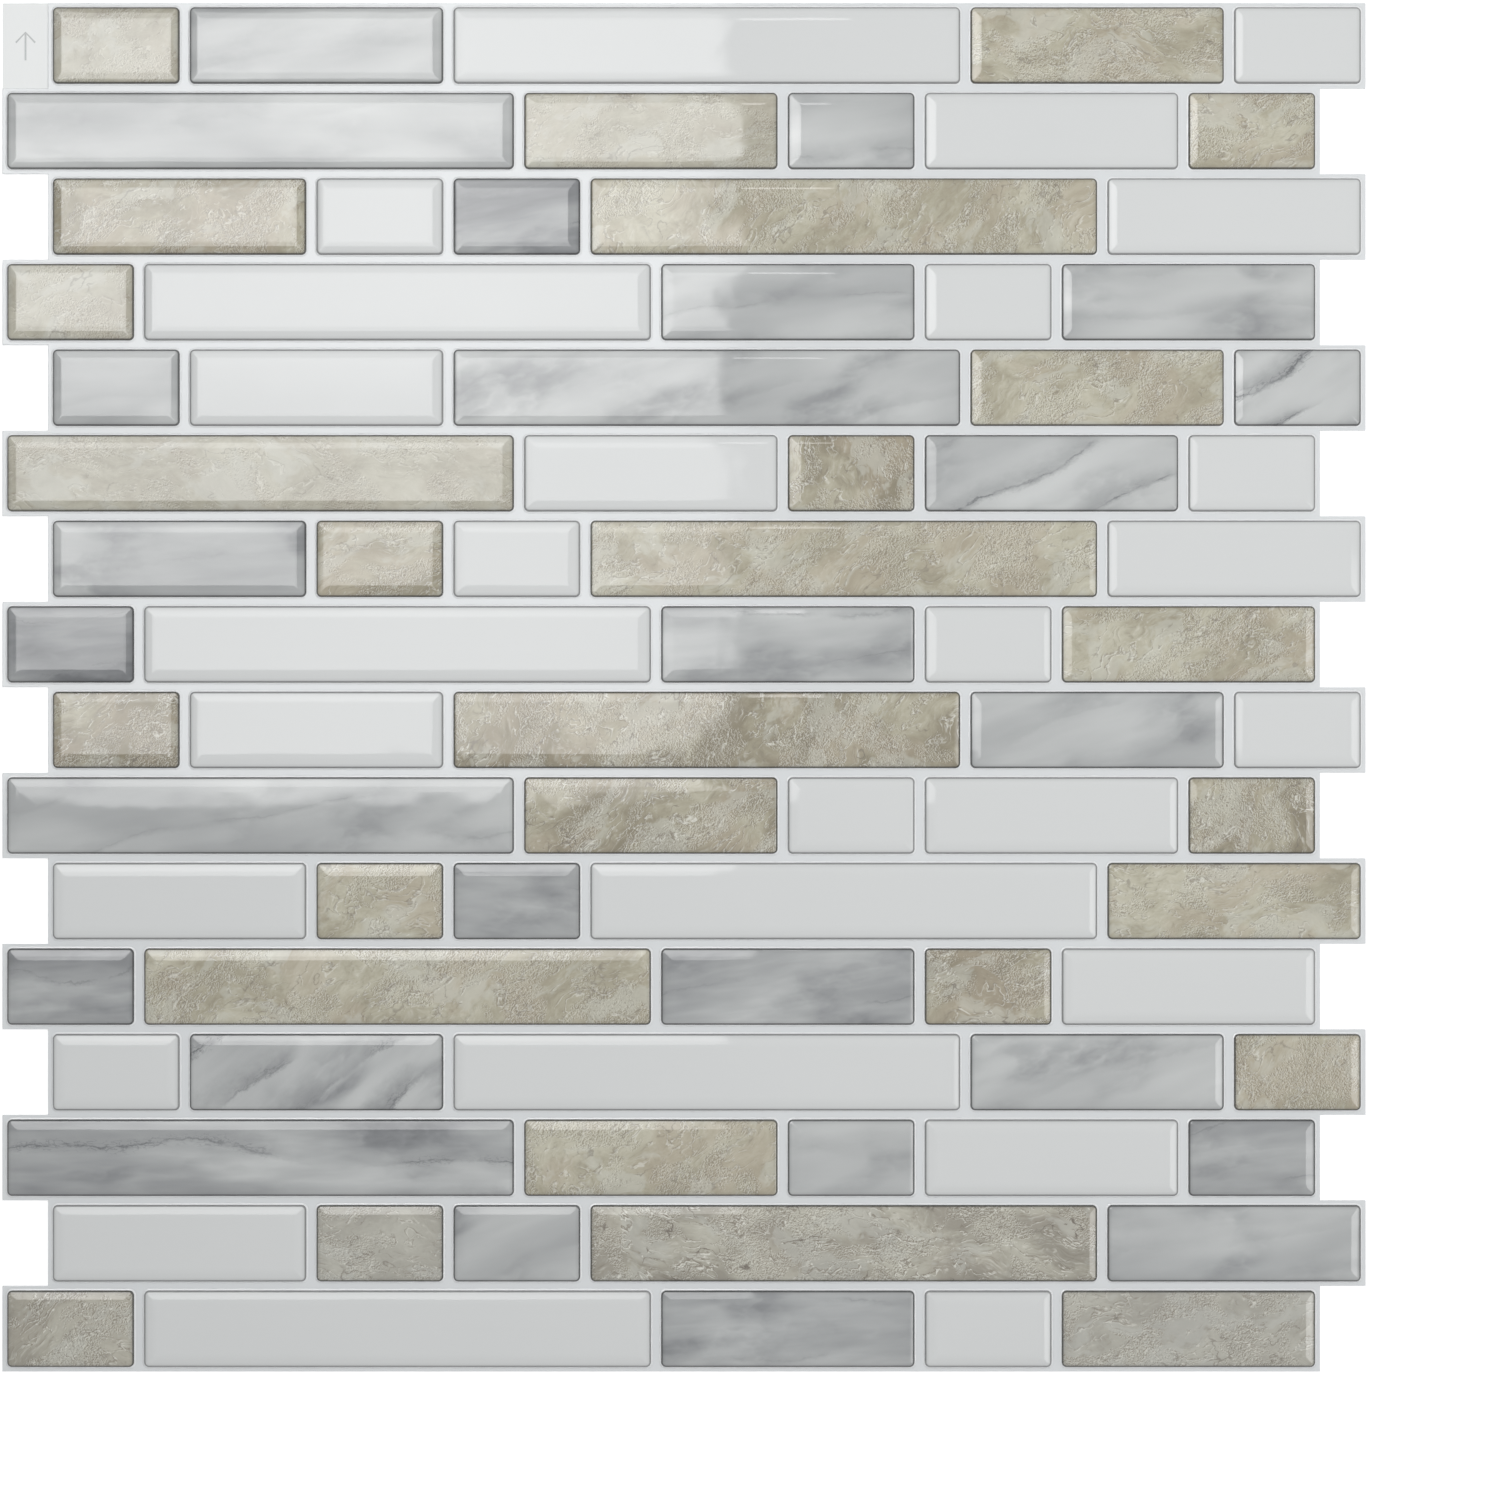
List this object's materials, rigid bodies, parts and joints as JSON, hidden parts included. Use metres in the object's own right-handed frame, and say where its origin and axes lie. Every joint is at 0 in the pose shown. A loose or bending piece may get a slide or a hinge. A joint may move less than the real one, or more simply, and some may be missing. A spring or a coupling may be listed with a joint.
{
  "type": "peel and stick backsplash tile",
  "caption": "Square self-adhesive backsplash sheet of glossy mixed-length gel tiles in staggered rows, with stepped interlocking side edges and a peel tab.",
  "frame": {"origin": "middle of the sheet on the release liner's lower face", "axes": "+X along the rows, +Y towards the first row, the one beside the peel tab, +Z out of the tiled face"},
  "size_m": [0.3036, 0.3048, 0.002],
  "materials": {
    "white_gel": "gloss",
    "grey_marble_gel": "gloss",
    "beige_stone_gel": "gloss",
    "base_film": "satin",
    "release_liner": "satin"
  },
  "bodies": {
    "root": {"base_film": "base_film", "release_liner": "release_liner", "row_01_beige_stone_tiles": "beige_stone_gel", "row_01_grey_marble_tiles": "grey_marble_gel", "row_01_white_tiles": "white_gel", "row_02_beige_stone_tiles": "beige_stone_gel", "row_02_grey_marble_tiles": "grey_marble_gel", "row_02_white_tiles": "white_gel", "row_03_beige_stone_tiles": "beige_stone_gel", "row_03_grey_marble_tiles": "grey_marble_gel", "row_03_white_tiles": "white_gel", "row_04_beige_stone_tiles": "beige_stone_gel", "row_04_grey_marble_tiles": "grey_marble_gel", "row_04_white_tiles": "white_gel", "row_05_beige_stone_tiles": "beige_stone_gel", "row_05_grey_marble_tiles": "grey_marble_gel", "row_05_white_tiles": "white_gel", "row_06_beige_stone_tiles": "beige_stone_gel", "row_06_grey_marble_tiles": "grey_marble_gel", "row_06_white_tiles": "white_gel", "row_07_beige_stone_tiles": "beige_stone_gel", "row_07_grey_marble_tiles": "grey_marble_gel", "row_07_white_tiles": "white_gel", "row_08_beige_stone_tiles": "beige_stone_gel", "row_08_grey_marble_tiles": "grey_marble_gel", "row_08_white_tiles": "white_gel", "row_09_beige_stone_tiles": "beige_stone_gel", "row_09_grey_marble_tiles": "grey_marble_gel", "row_09_white_tiles": "white_gel", "row_10_beige_stone_tiles": "beige_stone_gel", "row_10_grey_marble_tiles": "grey_marble_gel", "row_10_white_tiles": "white_gel", "row_11_beige_stone_tiles": "beige_stone_gel", "row_11_grey_marble_tiles": "grey_marble_gel", "row_11_white_tiles": "white_gel", "row_12_beige_stone_tiles": "beige_stone_gel", "row_12_grey_marble_tiles": "grey_marble_gel", "row_12_white_tiles": "white_gel", "row_13_beige_stone_tiles": "beige_stone_gel", "row_13_grey_marble_tiles": "grey_marble_gel", "row_13_white_tiles": "white_gel", "row_14_beige_stone_tiles": "beige_stone_gel", "row_14_grey_marble_tiles": "grey_marble_gel", "row_14_white_tiles": "white_gel", "row_15_beige_stone_tiles": "beige_stone_gel", "row_15_grey_marble_tiles": "grey_marble_gel", "row_15_white_tiles": "white_gel", "row_16_beige_stone_tiles": "beige_stone_gel", "row_16_grey_marble_tiles": "grey_marble_gel", "row_16_white_tiles": "white_gel"}
  },
  "joints": []
}
